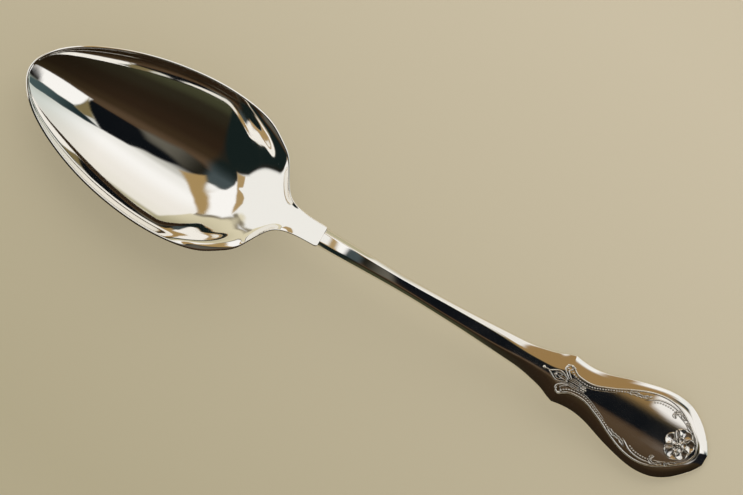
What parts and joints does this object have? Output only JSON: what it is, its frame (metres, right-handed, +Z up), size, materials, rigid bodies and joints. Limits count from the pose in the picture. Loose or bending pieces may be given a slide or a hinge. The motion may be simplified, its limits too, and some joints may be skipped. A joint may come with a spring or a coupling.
{
  "type": "serving spoon",
  "caption": "Polished serving spoon with a deep egg-shaped bowl, a flat-topped neck, a slim bevelled stem and a widened end with a beaded thread and flower.",
  "frame": {"origin": "middle of the spoon's bounding box, on the table it lies on", "axes": "+X along the spoon from the bowl's tip to the handle's end, +Z up out of the bowl's hollow, XZ is the plane of symmetry"},
  "size_m": [0.24, 0.0512, 0.0236],
  "materials": {
    "bowl_silver": "mirror polished silver plate",
    "handle_silver": "mirror polished silver plate with struck relief",
    "silver_solder": "polished silver solder"
  },
  "bodies": {
    "root": {"bowl": "bowl_silver", "handle": "handle_silver", "solder_seam": "silver_solder"}
  },
  "joints": []
}
